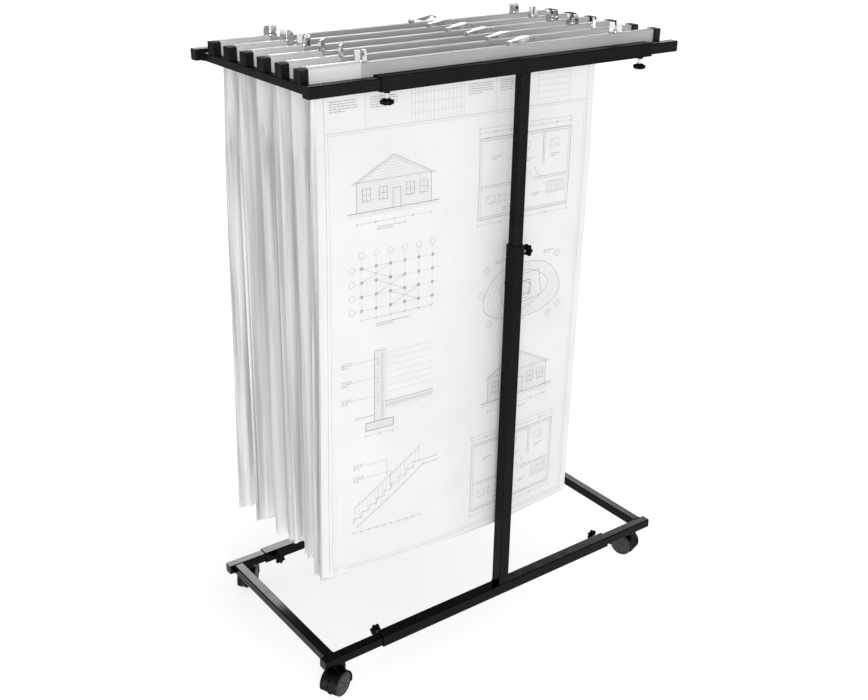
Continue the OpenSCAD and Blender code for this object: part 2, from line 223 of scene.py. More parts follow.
def chrome_with_painted_reflections():
    """Chrome plating on a casting with painted reflections: its colour runs from bright to dark in broad
    patches, standing in for dark surroundings mirrored in it, with faint wiping haze.
    """
    s = Surface("chrome_with_painted_reflections", (0.60, 0.60, 0.61), 0.07, metallic=1.0)
    # Painted reflection: dark and bright patches in the colour, so some wing screws look as if they mirror
    # dark surroundings.
    s.color(s.ramp(s.noise(58, 1, (1, 1, 0.5), 0.4), (0.16, 0.16, 0.165), (0.68, 0.68, 0.69), 0.36, 0.47))
    s.roughness(s.ramp(s.noise(220, 4), 0.04, 0.13))
    s.bump(s.noise(260, 2), 0.18, 0.00012)
    return s.material


def pressed_steel():
    """Nickelled strip steel, softly brushed."""
    s = Surface("pressed_steel", (0.62, 0.62, 0.63), 0.34, metallic=0.55)
    s.color(s.ramp(s.noise(150, 4), (0.46, 0.465, 0.47), (0.78, 0.785, 0.79)))
    s.roughness(s.ramp(s.noise(1100, 3, (0.05, 1, 1)), 0.22, 0.36))
    return s.material


def zinc_screw():
    """Bright zinc on turned thread."""
    s = Surface("zinc_screw", (0.66, 0.67, 0.68), 0.26, metallic=1.0)
    s.color(s.ramp(s.noise(300, 3), (0.56, 0.57, 0.58), (0.74, 0.75, 0.76)))
    s.roughness(s.ramp(s.noise(800, 3), 0.2, 0.34))
    return s.material


def plan_paper():
    """Uncoated white plotter paper: fibre and faint cockling."""
    s = Surface("plan_paper", (0.86, 0.86, 0.87), 0.72, specular=0.25)
    s.color(s.ramp(s.noise(9, 5), (0.84, 0.84, 0.855), (0.885, 0.885, 0.89)))
    s.roughness(s.ramp(s.noise(400, 3), 0.66, 0.8))
    s.bump(s.noise(1400, 4, (1, 1, 0.6)), 0.25, 0.00004)
    s.bump(s.noise(7, 3, (1, 1, 0.35)), 0.35, 0.0009)
    return s.material


def shaded_pack_paper():
    """The packs' paper with painted shade: a greyer tone than the front sheet's, and soft upright streaks of
    painted shade near the packs' left edges where the leaves hang close, over the fibre.
    """
    s = Surface("shaded_pack_paper", (0.76, 0.76, 0.775), 0.75, specular=0.2)
    # Painted shade: the paper's tone is greyer here than on the front sheet, for the shade the leaves cast on
    # one another.
    calm = s.ramp(s.noise(9, 5), (0.77, 0.77, 0.785), (0.82, 0.82, 0.83))
    # Painted shade: soft upright grey streaks, used only near the packs' left edges, stand in for the shade
    # in the folds and gaps between leaves.
    painted_fold_shade = s.ramp(s.noise(85, 3, (1, 1.3, 0.02)), (0.60, 0.60, 0.62), (0.95, 0.95, 0.955), 0.34, 0.58)
    s.color(s.mixed(s.near_left(-0.395, -0.30), calm, painted_fold_shade))
    s.roughness(s.ramp(s.noise(400, 3), 0.68, 0.82))
    s.bump(s.noise(1400, 4, (1, 1, 0.6)), 0.25, 0.00004)
    s.bump(s.noise(60, 3, (1, 1, 0.06)), 0.5, 0.0008)
    return s.material


def plot_ink():
    """Thin grey plotter line."""
    s = Surface("plot_ink", (0.06, 0.06, 0.065), 0.6, specular=0.3)
    s.color(s.ramp(s.noise(700, 3), (0.03, 0.03, 0.035), (0.09, 0.09, 0.1)))
    return s.material


def label_plastic():
    """White card in a clear extruded holder: glossy and slightly uneven."""
    s = Surface("label_plastic", (0.965, 0.97, 0.975), 0.14, specular=0.8)
    s.color(s.ramp(s.noise(26, 3), (0.95, 0.955, 0.96), (0.98, 0.98, 0.985)))
    s.roughness(s.ramp(s.noise(180, 4), 0.1, 0.2))
    s.bump(s.noise(90, 2), 0.2, 0.0001)
    s.set("Transmission Weight", LABEL_CLEAR)
    s.set("IOR", 1.5)
    return s.material


def wheel_rubber():
    """Hard black tread and side of a caster wheel, lightly scuffed."""
    s = Surface("wheel_rubber", (0.024, 0.024, 0.025), 0.5, specular=0.3)
    s.color(s.ramp(s.noise(420, 4), (0.012, 0.012, 0.013), (0.06, 0.06, 0.062)))
    s.roughness(s.ramp(s.noise(120, 4), 0.4, 0.62))
    s.bump(s.noise(1800, 2), 0.3, 0.00005)
    return s.material


# --- Mesh helpers ---

def add_piece(name, verts_mm, faces, material, body, slot, smooth=True):
    """A piece from vertices in millimetres of the row frame, riding on a body."""
    data = bpy.data.meshes.new(name)
    data.from_pydata([tuple(c * MM for c in v) for v in verts_mm], [], faces)
    data.validate()
    data.update()
    for polygon in data.polygons:
        polygon.use_smooth = smooth
    data.materials.append(material)
    piece = bpy.data.objects.new(name, data)
    show(piece)
    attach(piece, body)
    return piece


def turn_to(axis, origin, spin=0.0):
    """A matrix that takes local +Z to axis and the local origin to origin, after a spin in radians."""
    turn = Vector((0, 0, 1)).rotation_difference(Vector(axis)).to_matrix().to_4x4()
    return Matrix.Translation(Vector(origin)) @ turn @ Matrix.Rotation(spin, 4, "Z")


def placed(verts, matrix):
    return [tuple(matrix @ Vector(v)) for v in verts]


def flipped(faces):
    """The same faces, seen from their other side."""
    return [tuple(reversed(f)) for f in faces]


def seat(joint):
    """A joint's place, in millimetres."""
    return [c / MM for c in joint["pos_m"]]


def clamp_y(i):
    return (i - MIDDLE_CLAMP) * PITCH


def add_ring(verts, radius, height, steps):
    """Adds a level ring of points about Z, or one point on the axis, and returns their numbers."""
    first = len(verts)
    if not radius:
        verts.append((0, 0, height))
        return [first]
    for k in range(steps):
        a = 2 * math.pi * k / steps
        verts.append((radius * math.cos(a), radius * math.sin(a), height))
    return list(range(first, first + steps))


def revolve(profile, steps):
    """A closed solid of revolution about Z from (radius, height) points that start and end on the axis."""
    verts, faces = [], []
    rings = [add_ring(verts, radius, height, steps) for radius, height in profile]
    for low, high in zip(rings, rings[1:]):
        faces += band(low, high)
    return verts, faces


def band(low, high):
    """The faces between two rings of points, one of which may be a single point."""
    count = max(len(low), len(high))
    faces = []
    for k in range(count):
        n = (k + 1) % count
        if len(low) == 1:
            faces.append((low[0], high[k], high[n]))
        elif len(high) == 1:
            faces.append((low[n], low[k], high[0]))
        else:
            faces.append((low[k], high[k], high[n], low[n]))
    return faces


def joined(*parts):
    """Several (vertices, faces) pairs as one."""
    verts, faces = [], []
    for part_verts, part_faces in parts:
        base = len(verts)
        verts += list(part_verts)
        faces += [tuple(i + base for i in face) for face in part_faces]
    return verts, faces


def rounded(outline, depth, bevel, segments):
    """A slab with rounded edges, from an outline in the X-Z plane, centred on Y = 0."""
    mesh = bmesh.new()
    ring = [mesh.verts.new((x, -depth / 2, z)) for x, z in outline]
    face = mesh.faces.new(ring)
    moved = bmesh.ops.extrude_face_region(mesh, geom=[face])["geom"]
    lifted = [g for g in moved if isinstance(g, bmesh.types.BMVert)]
    bmesh.ops.translate(mesh, verts=lifted, vec=(0, depth, 0))
    bmesh.ops.recalc_face_normals(mesh, faces=mesh.faces)
    bmesh.ops.bevel(mesh, geom=list(mesh.edges), offset=bevel, segments=segments, profile=0.7,
                    affect="EDGES", clamp_overlap=True)
    mesh.verts.index_update()
    verts = [tuple(v.co) for v in mesh.verts]
    faces = [tuple(v.index for v in f.verts) for f in mesh.faces]
    mesh.free()
    return verts, faces


def ribbon(path, depth, thickness):
    """A bent strip of sheet metal: a path in the X-Z plane, given thickness and a depth along Y."""
    points = np.array(path, float)
    along = np.gradient(points, axis=0)
    along /= np.linalg.norm(along, axis=1)[:, None]
    normal = np.stack([-along[:, 1], along[:, 0]], axis=1)
    outline = np.concatenate([points + normal * thickness / 2, (points - normal * thickness / 2)[::-1]])
    count = len(outline)
    verts = [(x, -depth / 2, z) for x, z in outline] + [(x, depth / 2, z) for x, z in outline]
    faces = [(k, (k + 1) % count, (k + 1) % count + count, k + count) for k in range(count)]
    half = len(points)
    for k in range(half - 1):
        a, b, c, d = k, k + 1, count - 2 - k, count - 1 - k
        faces.append((a, d, c, b))
        faces.append((a + count, b + count, c + count, d + count))
    return verts, faces


def weld_bead(path, radius, seed, sides=8):
    """A thin closed tube along a path, with a weld bead's small lumps."""
    rng = random.Random(seed)
    points = [Vector(p) for p in path]
    count = len(points)
    rings, verts = [], []
    for k, point in enumerate(points):
        along = (points[(k + 1) % count] - points[k - 1]).normalized()
        side = along.cross(Vector((0.31, 0.47, 0.83))).normalized()
        other = along.cross(side)
        r = radius * (1 + BEAD_LUMPS * (rng.random() - 0.5))
        rings.append(list(range(len(verts), len(verts) + sides)))
        for j in range(sides):
            a = 2 * math.pi * j / sides
            verts.append(tuple(point + side * (r * math.cos(a)) + other * (r * math.sin(a))))
    faces = []
    for low, high in zip(rings, rings[1:] + rings[:1]):
        faces += band(low, high)
    return verts, faces


def finish_metal(piece):
    """Smooth shading that keeps the edges sharp."""
    piece.modifiers.new("normals", "WEIGHTED_NORMAL").keep_sharp = True


# --- Frame: welds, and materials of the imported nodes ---

def paint_node(node, material):
    """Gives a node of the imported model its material."""
    for place in frame["nodes"][node].material_slots:
        place.link = "OBJECT"
        place.material = material


def square_path(center, u, v, side):
    """Points round a square with cut corners, in the plane of the unit vectors u and v."""
    half = side / 2
    cut = CORNER_R * 0.6
    corners = [(-half + cut, -half), (half - cut, -half), (half, -half + cut), (half, half - cut),
               (half - cut, half), (-half + cut, half), (-half, half - cut), (-half, -half + cut)]
    points = []
    for (ax, ay), (bx, by) in zip(corners, corners[1:] + corners[:1]):
        steps = LUMPS_PER_SIDE if math.hypot(bx - ax, by - ay) > side / 2 else 1
        for k in range(steps):
            t = k / steps
            along_u = Vector(u) * (ax + (bx - ax) * t)
            along_v = Vector(v) * (ay + (by - ay) * t)
            points.append(Vector(center) + along_u + along_v)
    return points


# Radii of the beads
FOOT_BEAD = 1.5
HEAD_BEAD = 1.4
RAIL_BEAD = 1.2
# How far the left and right rails stand in from their arms' ends, and the plugs out of them
BASE_INSETS = (8.5, 8.5)
TOP_INSETS = (10.5, 0.5)
PLUG_HEAD = 1.6
# How far a lock screw reaches in past the face it sits on
SCREW_TIP = 2.3
# From the back post's screw tip out to the face that the weld beads go by, within 0.1 of the post's own
POST_FACE = 2.2


def make_welds(base_coat_light_tuned, top_coat_light_tuned):
    """Weld beads round the foot of each post, the head of each upper post and each rail's ends."""
    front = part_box("base_tees")[0].y / MM + SLEEVE_SIDE / 2
    back = -front
    base_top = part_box("base_end_left")[1].z / MM + (SLEEVE_SIDE - ARM_SIDE) / 2
    top_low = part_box("top_end_left")[0].z / MM - (SLEEVE_SIDE - ARM_SIDE) / 2
    post_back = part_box("post_knob_back")[0].x / MM + POST_FACE - SLEEVE_SIDE / 2
    posts = {front: 0.0, back: post_back}
    x, y = (1, 0, 0), (0, 1, 0)
    foot = [weld_bead(square_path((px, py, base_top), x, y, SLEEVE_SIDE), FOOT_BEAD, seed=3)
            for py, px in posts.items()]
    head = [weld_bead(square_path((px, py, top_low), x, y, ARM_SIDE), HEAD_BEAD, seed=4)
            for py, px in posts.items()]
    add_piece("weld_base_posts", *joined(*foot), base_coat_light_tuned, "base_frame", "black_powder_coat")
    add_piece("weld_top_posts", *joined(*head), top_coat_light_tuned, "top_frame", "black_powder_coat")
    for name, side, insets in (("base", ARM_SIDE, BASE_INSETS), ("top", RAIL_SIDE, TOP_INSETS)):
        for end, inset in zip(SIDES, insets):
            node = "%s_end_%s" % (name, end)
            low, high = (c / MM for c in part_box(node))
            inset += PLUG_HEAD + side / 2
            px = low.x + inset if end == "left" else high.x - inset
            pz = low.z + side / 2
            beads = [weld_bead(square_path((px, sy * (high.y - ARM_SIDE), pz), x, (0, 0, 1), side),
                               RAIL_BEAD, seed=5 + sy) for sy in (-1, 1)]
            coat = base_coat_light_tuned if name == "base" else top_coat_light_tuned
            add_piece("weld_" + node, *joined(*beads), coat, node, "black_powder_coat")


# --- Star knobs ---

NUT_H = 4.0
STUD_BARE = 9.0
KNOB_R = 11.8
KNOB_VALLEY_R = 10.0
KNOB_STEPS = 96
LOBES = 6
# Heights over the head's underside, radii and how far the lobes stand out there, then the dish on top
KNOB_LEVELS = ((0.0, 5.2, 0.0), (0.3, 5.7, 0.0), (1.9, 8.1, 0.15), (2.2, 9.4, 0.75), (2.9, 10.0, 1.0),
               (7.6, 10.0, 1.0), (8.6, 9.6, 0.95), (9.4, 8.6, 0.75), (9.9, 7.2, 0.35), (10.0, 5.6, 0.0))
KNOB_DISH = ((4.6, 9.7), (0.0, 9.6))


def star_head():
    """A six-lobed hand knob with rounded shoulders and a cone below, from its seat upward."""
    base = NUT_H + STUD_BARE
    verts, rings = [], []
    for height, radius, share in KNOB_LEVELS:
        rings.append(list(range(len(verts), len(verts) + KNOB_STEPS)))
        for k in range(KNOB_STEPS):
            a = 2 * math.pi * k / KNOB_STEPS
            wave = math.cos(LOBES * a)
            lobe = (KNOB_R - KNOB_VALLEY_R) * share * math.copysign(abs(wave) ** 0.7, wave)
            r = radius + lobe
            verts.append((r * math.cos(a), r * math.sin(a), base + height))
    faces = flipped([rings[0]])
    for low, high in zip(rings, rings[1:]):
        faces += flipped(band(low, high))
    last = rings[-1]
    for radius, height in KNOB_DISH:
        ring = add_ring(verts, radius, base + height, KNOB_STEPS)
        faces += flipped(band(last, ring))
        last = ring
    return verts, faces


def threaded_stud(radius=3.0, low=-SCREW_TIP, high=NUT_H + STUD_BARE + 1, pitch=1.0):
    """A screw thread drawn as close rings, a pitch apart."""
    profile = [(0, low), (radius - 0.6, low), (radius, low + 0.5)]
    height = low + 0.5
    while height < high - pitch:
        profile += [(radius - 0.38, height + pitch / 2), (radius, height + pitch)]
        height += pitch
    profile += [(radius, high), (0, high)]
    verts, faces = revolve(profile, 24)
    return verts, flipped(faces)


def make_star_knobs(head_plastic, zinc):
    """A knob and its screw at each lock joint, set at its own angle."""
    rng = random.Random(11)
    head, stud = star_head(), threaded_stud()
    for name, joint in JOINTS.items():
        if "knob" not in name:
            continue
        node = joint["child"]
        matrix = turn_to(joint["axis"], seat(joint), rng.uniform(0, math.tau / LOBES))
        knob = add_piece(node + "_head", placed(head[0], matrix), head[1], head_plastic, node, "knob_plastic")
        screw = add_piece(node + "_screw", placed(stud[0], matrix), stud[1], zinc, node, "lever_steel")
        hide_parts(node)
        finish_metal(screw)


# --- Wing screws ---

WING_H = 19.5
WING_REACH = 12.3
WING_SLOT = 1.3
WING_T = 4.6
WING_TAPER = 0.25
# How far round each clamp's left and right wing screw stands, in degrees
WING_TURN = ((6, -37), (48, 52), (42, -42), (-50, -25), (-40, 14), (-20, 0))


def wing_shape():
    """A cast wing: a waisted hub with a domed top and two upright blades with a slot between them."""
    hub = revolve([(0, 0.1), (4.6, 0.1), (4.9, 0.5), (4.7, 2.2),
                   (4.1, 4.4), (3.6, 6.2), (2.6, 6.9), (0, 7.1)], 36)
    hub = (hub[0], flipped(hub[1]))
    blades = []
    for side in (-1, 1):
        outline = [(WING_SLOT, 3.6), (2.6, 1.0), (WING_REACH - 0.5, 0.6), (WING_REACH, 1.6),
                   (WING_REACH - 0.7, WING_H - 3.2), (WING_REACH - 1.3, WING_H - 0.9),
                   (WING_REACH - 2.4, WING_H), (WING_SLOT + 0.9, WING_H), (WING_SLOT, WING_H - 0.9)]
        outline = [(side * x, z) for x, z in outline]
        if side > 0:
            outline.reverse()
        verts, faces = rounded(outline, WING_T, 0.8, 3)
        thin = [(x, y * (1 - WING_TAPER * z / WING_H), z) for x, y, z in verts]
        blades.append((thin, faces))
    screw = threaded_stud(2.5, -22.0, 1.0, 0.8)
    return joined(hub, *blades, screw)


def make_wing_screws(chrome):
    verts, faces = wing_shape()
    for i in CLAMPS:
        for side, turn in zip(SIDES, WING_TURN[i - 1]):
            node = "wing_screw_%s_%d" % (side, i)
            joint = JOINTS["wing_%s_%d_turn" % (side, i)]
            matrix = turn_to((0, 0, 1), seat(joint), math.radians(turn))
            piece = add_piece(node + "_cast", placed(verts, matrix), faces, chrome, joint["child"],
                              "wing_chrome")
            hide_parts(node)
            finish_metal(piece)


# --- Levers ---

LEVER_LEN = 57.0
LEVER_W = 14.0
LEVER_T = 1.4
LEVER_ARCH = 4.2
LEVER_RISE = math.radians(2)
CURL_R = 2.3
FLANGE_T = 1.3


def lever_shape():
    """Pressed sheet: a curl round the pin, a leaf-shaped plate that crests near its free end, two flanges."""
    curl = [(CURL_R * math.cos(a), CURL_R * math.sin(a))
            for a in np.linspace(math.radians(-60), math.radians(-270), 22)]
    plate = [(x, CURL_R + LEVER_ARCH * math.sin(math.pi * ((x - 2) / (LEVER_LEN - 2)) ** 1.5))
             for x in np.linspace(2.0, LEVER_LEN, 28)]
    lip = [(LEVER_LEN + 0.4, CURL_R - 1.2), (LEVER_LEN + 0.2, CURL_R - 2.8)]
    neck = 4
    barrel = ribbon(curl + plate[:neck], 7.0, LEVER_T)
    wide, wide_faces = ribbon(plate[neck - 1:] + lip, LEVER_W, LEVER_T)
    tapered = []
    for x, y, z in wide:
        tip = smooth((x - 0.5 * LEVER_LEN) / (0.5 * LEVER_LEN))
        root = smooth((22 - x) / 16)
        tapered.append((x, y * (1 - 0.40 * float(tip) - 0.50 * float(root)), z))
    flanges = []
    for side in (-1, 1):
        upper = [(x, z - 0.4) for x, z in plate if 17 < x < 41]
        lower = [(40.0, 2.6), (35.0, -0.2), (26.0, -2.0), (18.0, -0.8)]
        verts, faces = rounded(upper + lower, FLANGE_T, 0.3, 1)
        y = side * (LEVER_W / 2 - 0.75)
        flanges.append(([(vx, vy + y, vz) for vx, vy, vz in verts], faces))
    verts, faces = joined(barrel, (tapered, wide_faces), *flanges)
    rise = Matrix.Rotation(-LEVER_RISE, 4, "Y")
    return placed(verts, rise), faces


def make_levers(steel):
    verts, faces = lever_shape()
    for i in CLAMPS:
        joint = JOINTS["lever_%d_hinge" % i]
        pressed = placed(verts, Matrix.Translation(Vector(seat(joint))))
        piece = add_piece("clamp_lever_%d_pressed" % i, pressed, faces, steel, joint["child"], "lever_steel",
                          smooth=False)
        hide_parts("clamp_lever_%d" % i)
        soft = piece.modifiers.new("soft_edges", "BEVEL")
        soft.width = 0.3 * MM
        soft.segments = 2
        soft.limit_method = "ANGLE"
        soft.angle_limit = math.radians(50)


# --- Label holders ---

LABEL_LEN = 98.0
LABEL_FROM_CAP = 16.0
LABEL_CLEAR = 0.03
LABEL_RIM = 2.2
LABEL_T = 0.8
RIM_PROUD = 0.55


def label_section(proud):
    """The holder's section round the channel: lips at the front and back, and a bead along its top."""
    half = BAR_W / 2 + 0.45 + proud
    low = BAR_LOW + 1.5
    top = BAR_TOP + 0.6 + proud
    return [(-half - 1.4, low), (-half - 1.2, low + 1.4), (-half, low + 2.2), (-half, top - 2.0),
            (-half + 1.6, top), (-2.4, top + 0.2), (-1.6, top + 2.2), (1.6, top + 2.2), (2.4, top + 0.2),
            (half - 1.6, top), (half, top - 2.0), (half, top - 9.0)]


def make_labels(plastic):
    """A holder with a raised rim at each end, on each bar near its left end."""
    body, rim = label_section(0.0), label_section(RIM_PROUD)
    to_rim = (LABEL_LEN - LABEL_RIM) / 2
    for i in CLAMPS:
        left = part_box("clamp_hooks_%d" % i)[0].x / MM
        middle = left + LABEL_FROM_CAP + LABEL_LEN / 2
        parts = []
        for section, shift, length in ((body, 0, LABEL_LEN), (rim, -to_rim, LABEL_RIM),
                                       (rim, to_rim, LABEL_RIM)):
            verts, faces = ribbon(section, length, LABEL_T)
            parts.append(([(middle + shift + vy, clamp_y(i) + vx, vz) for vx, vy, vz in verts],
                          flipped(faces)))
        verts, faces = joined(*parts)
        piece = add_piece("label_sleeve_%d" % i, verts, faces, plastic, "clamp_%d" % i, "paper",
                          smooth=False)
        finish_metal(piece)


# --- Casters ---

WHEEL_R = 25.0
WHEEL_W = 15.0
AXLE_R = 3
# Half the space between the two wheels
WHEEL_GAP = 3.5


def wheel_shape():
    """Two wheels on one axle, each with a rounded tread, a raised rim and a dished hub, along local Z."""
    r, gap = WHEEL_R, WHEEL_GAP
    outer = gap + WHEEL_W
    profile = [(0, gap), (r - 1.6, gap), (r - 0.4, gap + 0.5), (r, gap + 1.6), (r, outer - 2.2),
               (r - 0.5, outer - 0.8), (r - 1.6, outer - 0.1), (r - 2.6, outer), (r - 3.2, outer - 0.5),
               (r - 3.6, outer - 1.3), (r - 5.2, outer - 1.4), (r - 6.2, outer - 0.6), (r - 9.0, outer - 0.1),
               (9.0, outer + 0.3), (6.5, outer + 0.4), (6.0, outer - 0.2), (5.4, outer - 0.3),
               (4.9, outer + 0.5), (0, outer + 0.7)]
    verts, faces = revolve(profile, 72)
    faces = flipped(faces)
    other = ([(x, -y, -z) for x, y, z in verts], faces)
    axle = revolve([(0, -gap - 1), (AXLE_R, -gap - 1), (AXLE_R, gap + 1), (0, gap + 1)], 24)
    axle = (axle[0], flipped(axle[1]))
    return joined((verts, faces), other, axle)


def make_wheels(rubber):
    verts, faces = wheel_shape()
    for corner in CORNERS:
        joint = JOINTS["roll_" + corner]
        matrix = turn_to(joint["axis"], seat(joint))
        piece = add_piece("wheels_%s_tread" % corner, placed(verts, matrix), faces, rubber, joint["child"],
                          "wheel_plastic")
        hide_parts("caster_wheels_" + corner)
        edges = piece.modifiers.new("edges", "EDGE_SPLIT")
        edges.split_angle = math.radians(40)


# --- Plans ---

SHEET_W = 610.0
# How long each clamp's sheets are, and how far their lower ends lean back
PACK_LENGTH = (950.0, 923.0, 925.0, 930.0, 945.0, 950.0)
PACK_LEAN = (0, 0, 2, 6, 12, 24)
# How far the left edges of each clamp's sheets curl back
PACK_CURL = (1.0, -3.0, 2.0, -4.0, 5.0, 12.0)
PACK_LEAVES = (6, 9, 9, 9, 9, 9)
# The packs' thickness in the bars and below them, and the least space between their leaves
GRIP = 2.4
FAN = 21.0
LEAF_GAP = 0.25
# How far in front of the bars' middles the sheets hang
GRIP_FORWARD = 4.0
# Each sheet's grid
COLUMNS = 54
ROWS = 40
# How the front sheet hangs in its clamp: moved to the right, and turned a little
FRONT_SHIFT = 7.0
FRONT_SKEW = -0.0125


def smooth(t):
    t = np.clip(t, 0.0, 1.0)
    return t * t * (3 - 2 * t)


class Pack:
    """The leaves of one clamp, as functions of a place on the sheet: u across and v down, in millimetres."""

    def __init__(self, i):
        low, high = (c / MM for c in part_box("plans_%d" % i))
        self.i = i
        self.left = low.x
        self.top = high.z
        self.middle = clamp_y(i) - GRIP_FORWARD
        self.long = PACK_LENGTH[i - 1]
        self.count = PACK_LEAVES[i - 1]
        self.lean = PACK_LEAN[i - 1]
        self.curl = PACK_CURL[i - 1]
        rng = random.Random(40 + i)
        self.phase = rng.uniform(0, math.tau)
        self.turns = rng.uniform(0.8, 1.5)
        self.leaves = [self.leaf(rng, front=(i == 1 and k == 0)) for k in range(self.count)]

    def leaf(self, rng, front):
        """How one leaf hangs; the front leaf of the front clamp hangs smoothly."""
        leaf = {
            "drop": rng.uniform(-7.0, 9.0),
            "shift": rng.uniform(-4.0, 14.0),
            "skew": rng.uniform(-0.007, 0.005),
            "curl": rng.uniform(-1.0, 1.0),
            "fold": rng.uniform(0.5, 1.6),
            "pleat": rng.uniform(0.3, 1.0),
            "pitch": rng.uniform(20.0, 46.0),
            "phase": rng.uniform(0, math.tau),
            "length": rng.uniform(22.0, 60.0),
        }
        if front:
            leaf.update(drop=0.0, shift=FRONT_SHIFT, skew=FRONT_SKEW, pleat=0.0)
        elif self.i == 1:
            leaf.update(shift=FRONT_SHIFT - 4 + 0.3 * leaf["shift"], skew=FRONT_SKEW + 0.4 * leaf["skew"])
        return leaf

    def offsets(self, u, v):
        """How far each leaf lies behind the pack's middle plane, front leaf first, none through another."""
        hung = smooth((v - GRIP_H - 6) / 230)
        down = np.clip((v - GRIP_H) / (self.long - GRIP_H), 0, 1)
        w = u / SHEET_W
        # The whole pack: a slow wave, its lean and the curl of its left edges
        common = 2.0 * hung * np.sin(math.tau * self.turns * w + self.phase + 0.8 * down)
        common = common + self.lean * 0.5 * (down + down * down)
        common = common + self.curl * hung * np.exp(-u / 70.0)
        if self.i == 1:
            # The front pack bows forward further down
            bow = -15.0 * np.sin(math.pi * np.clip(w, 0, 1)) + 9.0 * (1 - w) ** 6
            common = common + bow * smooth((v - 300) / 640)
        rows = []
        for k, leaf in enumerate(self.leaves):
            # Each leaf: its place in the fan, its edges' curl, its ripples and its pleats at the left
            share = k / (self.count - 1) - 0.5
            spread = share * (GRIP - 0.6 + (FAN - GRIP) * hung)
            near = np.exp(-u / leaf["length"]) + 0.6 * np.exp(-(SHEET_W - u) / leaf["length"])
            curl = 8.0 * leaf["curl"] * near * hung * (0.6 + 0.6 * down)
            ripple = 1.1 * leaf["fold"] * hung
            ripple = ripple * np.sin(math.tau * leaf["fold"] * 2.2 * w + leaf["phase"] + 2.1 * down)
            pleat = 3.4 * leaf["pleat"] * hung * np.exp(-u / 130.0)
            pleat = pleat * np.sin(math.tau * u / leaf["pitch"] + leaf["phase"] + 1.4 * down)
            rows.append(spread + curl + ripple + pleat)
        # No leaf goes through another, and the pack is squeezed to a little over its thickness
        rows = np.sort(np.stack(rows), axis=0)
        for k in range(1, self.count):
            rows[k] = np.maximum(rows[k], rows[k - 1] + LEAF_GAP)
        limit = FAN / 2 + 2.5
        squeezed = limit * np.tanh(rows / limit)
        return common + np.where(hung > 0, squeezed, rows)

    def points(self, k, u, v, lift=0.0):
        """Places on leaf k; lift moves them towards the viewer's side."""
        leaf = self.leaves[k]
        free = np.clip(v / 120, 0, 1)
        y = self.middle + self.offsets(u, v)[k] - lift
        x = self.left + u + leaf["shift"] * (free if k or self.i > 1 else 1.0) + leaf["skew"] * v
        z = self.top - v - leaf["drop"] * free + leaf["skew"] * (u - SHEET_W / 2) * free
        return np.stack([x, y, z], axis=-1)


def make_leaf(pack, k, paper):
    """One sheet as a fine grid, finer towards its upper and left edges."""
    across = np.linspace(0, 1, COLUMNS + 1)
    across = 0.35 * across + 0.65 * across ** 2
    down = np.linspace(0, 1, ROWS + 1) ** 1.15
    u, v = np.meshgrid(across * SHEET_W, down * pack.long)
    grid = pack.points(k, u, v)
    if pack.i > 1 or k > 0:
        rng = random.Random(900 + 20 * pack.i + k)
        a, b, c = (rng.uniform(-1, 1) for _ in range(3))
        edge = smooth((v / pack.long - 0.86) / 0.14)
        w = u / SHEET_W
        grid[..., 2] += edge * (4.0 * a * np.sin(math.tau * (1.5 + b) * w + 3 * c) + 5.0 * b * (w - 0.5))
    wide = COLUMNS + 1
    faces = [(r * wide + c, r * wide + c + 1, (r + 1) * wide + c + 1, (r + 1) * wide + c)
             for r in range(ROWS) for c in range(COLUMNS)]
    name = "sheet_%d_%d" % (pack.i, k + 1)
    verts = [tuple(p) for p in grid.reshape(-1, 3)]
    leaf = add_piece(name, verts, faces, paper, "clamp_%d" % pack.i, "paper")
    return leaf


# --- The drawing on the front sheet ---

# Widths of the drawing's lines, and how far they stand proud of the sheet, in millimetres
FAINT = 0.18
TICK_LINE = 0.2
THIN = 0.26
FINE = 0.3
TICK = 0.45
MAIN = 0.5
NOTE = 0.7
HEAVY = 0.75
INK_LIFT = 0.35
# The length of the straight pieces that follow the sheet's folds
INK_STEP = 20


class Drawing:
    """Ink strokes on a sheet, kept as lines of (u, v) points in millimetres from its upper left corner."""

    def __init__(self):
        self.strokes = []
        self.origin = (0, 0)

    def line(self, *points, width=FAINT):
        """A stroke through points that are counted from the drawing's origin."""
        u, v = self.origin
        self.strokes.append(([(u + x, v + y) for x, y in points], width))

    def box(self, u0, v0, u1, v1, width):
        self.line((u0, v0), (u1, v0), (u1, v1), (u0, v1), (u0, v0), width=width)

    def arc(self, u, v, r, start=0.0, end=360.0, width=FAINT):
        steps = max(6, int(abs(end - start) / 12))
        angles = [math.radians(start + (end - start) * k / steps) for k in range(steps + 1)]
        self.line(*[(u + r * math.cos(a), v + r * math.sin(a)) for a in angles], width=width)

    def hatch(self, u0, v0, u1, v1, step):
        """Slanted lines across a box."""
        reach = v1 - v0
        u = u0 - reach
        while u < u1:
            a = max(u, u0)
            b = min(u + reach, u1)
            if b > a:
                self.line((a, v1 - (a - u)), (b, v1 - (b - u)))
            u += step

    def ladder(self, u0, v0, u1, v1, count, upright=True, width=FAINT):
        """Evenly spaced rungs across a box."""
        for k in range(1, count):
            t = k / count
            u, v = u0 + (u1 - u0) * t, v0 + (v1 - v0) * t
            if upright:
                self.line((u, v0), (u, v1), width=width)
            else:
                self.line((u0, v), (u1, v), width=width)

    def dimension(self, u0, u1, v, marks):
        """A dimension line with short ticks."""
        self.line((u0, v), (u1, v), width=THIN)
        for k in range(marks + 1):
            u = u0 + (u1 - u0) * k / marks
            self.line((u - 1.6, v + 1.6), (u + 1.6, v - 1.6), width=TICK)
            self.line((u, v - 3), (u, v + 5), width=TICK_LINE)


# The distance between a note's rows
NOTE_LEAD = 4.2


